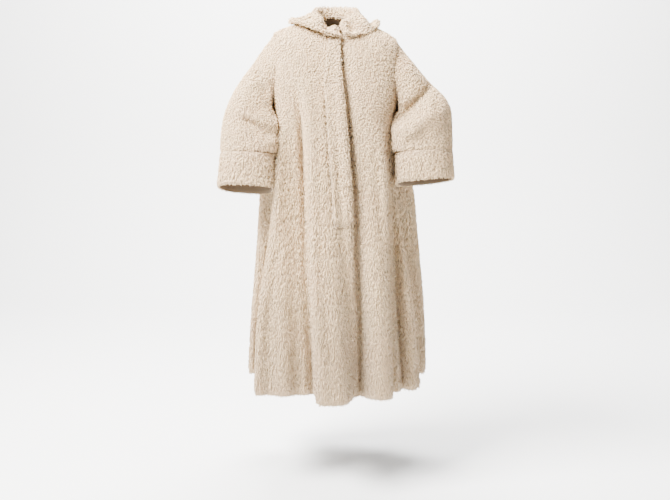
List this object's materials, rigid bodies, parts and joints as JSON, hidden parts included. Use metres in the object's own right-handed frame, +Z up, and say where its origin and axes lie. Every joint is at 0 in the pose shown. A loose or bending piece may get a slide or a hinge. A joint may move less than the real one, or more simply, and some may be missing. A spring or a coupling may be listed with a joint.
{
  "type": "faux shearling coat",
  "caption": "Long A-line coat of cream faux shearling in its worn, hollow form: lapped fronts, wide sleeves with cuffs and a rolled collar.",
  "frame": {"origin": "middle of the neck at the height of the shoulders, where the wearer carries the coat", "axes": "+Z up along the coat's length, -Y is the coat's front, +X is the coat's left side"},
  "size_m": [0.774, 0.5816, 1.2726],
  "materials": {
    "pile": "curly cream pile on a woven backing"
  },
  "bodies": {
    "root": {"right_front": "pile", "left_front": "pile", "back": "pile", "right_sleeve": "pile", "left_sleeve": "pile", "right_cuff": "pile", "left_cuff": "pile", "collar": "pile", "front_placket": "pile"}
  },
  "joints": []
}
